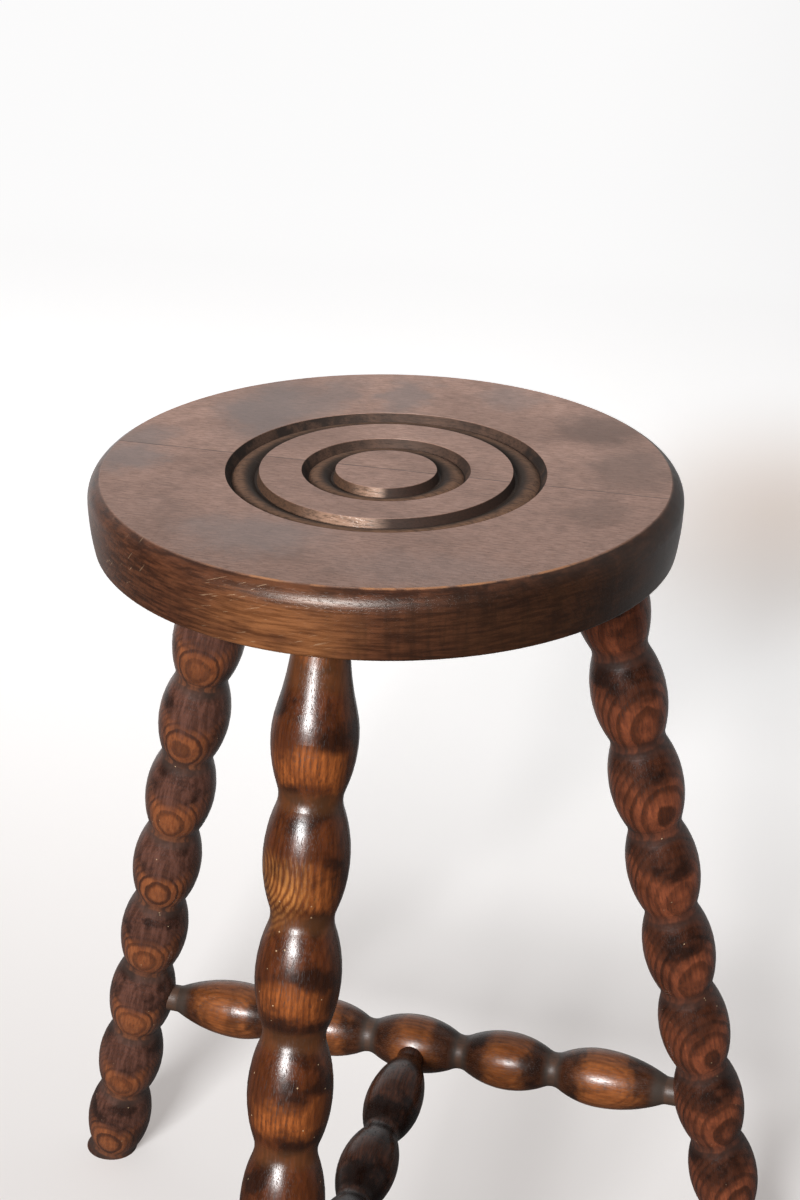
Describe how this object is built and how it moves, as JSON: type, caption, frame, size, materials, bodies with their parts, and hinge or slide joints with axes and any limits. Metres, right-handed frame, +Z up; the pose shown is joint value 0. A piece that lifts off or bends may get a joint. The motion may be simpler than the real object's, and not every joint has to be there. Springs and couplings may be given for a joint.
{
  "type": "turned tripod stool",
  "caption": "Tall tripod stool with a round ring-moulded seat, splayed bobbin-turned legs and bobbin-turned stretchers, for one person to sit on.",
  "frame": {"origin": "on the floor, straight below the centre of the round seat", "axes": "+Z up; -Y towards the front leg; X along the seat's glue line and the cross stretcher"},
  "size_m": [0.4726, 0.4299, 0.58],
  "materials": {
    "seat_wood": "satin, stained mid brown, worn",
    "leg_wood": "gloss, stained dark walnut",
    "stretcher_wood": "gloss, stained dark walnut"
  },
  "bodies": {
    "root": {"seat_board_back": "seat_wood", "seat_board_front": "seat_wood", "front_leg": "leg_wood", "right_leg": "leg_wood", "left_leg": "leg_wood", "cross_stretcher": "stretcher_wood", "centre_stretcher": "stretcher_wood"}
  },
  "joints": []
}
